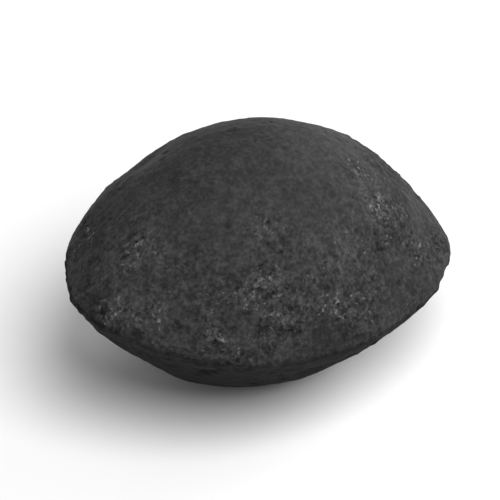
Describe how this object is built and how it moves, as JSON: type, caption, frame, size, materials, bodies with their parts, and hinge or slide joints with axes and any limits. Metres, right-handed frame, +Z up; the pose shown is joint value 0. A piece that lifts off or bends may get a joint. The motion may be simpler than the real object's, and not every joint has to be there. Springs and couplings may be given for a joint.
{
  "type": "charcoal briquette",
  "caption": "Pillow-shaped charcoal briquette: two cupped matte black halves meeting at a blunt crumbly seam, resting on a small worn flat.",
  "frame": {"origin": "middle of the bounding box in plan, at the level of the worn flat that the briquette rests on", "axes": "+X along the long axis towards the blunter end with the nub, +Z up as it rests, with the seam plane leaned about 8 degrees"},
  "size_m": [0.0514, 0.0406, 0.0327],
  "materials": {
    "charcoal": "matte, dusty pressed charcoal with fine mottling and a grainy band beside the seam"
  },
  "bodies": {
    "root": {"briquette": "charcoal"}
  },
  "joints": []
}
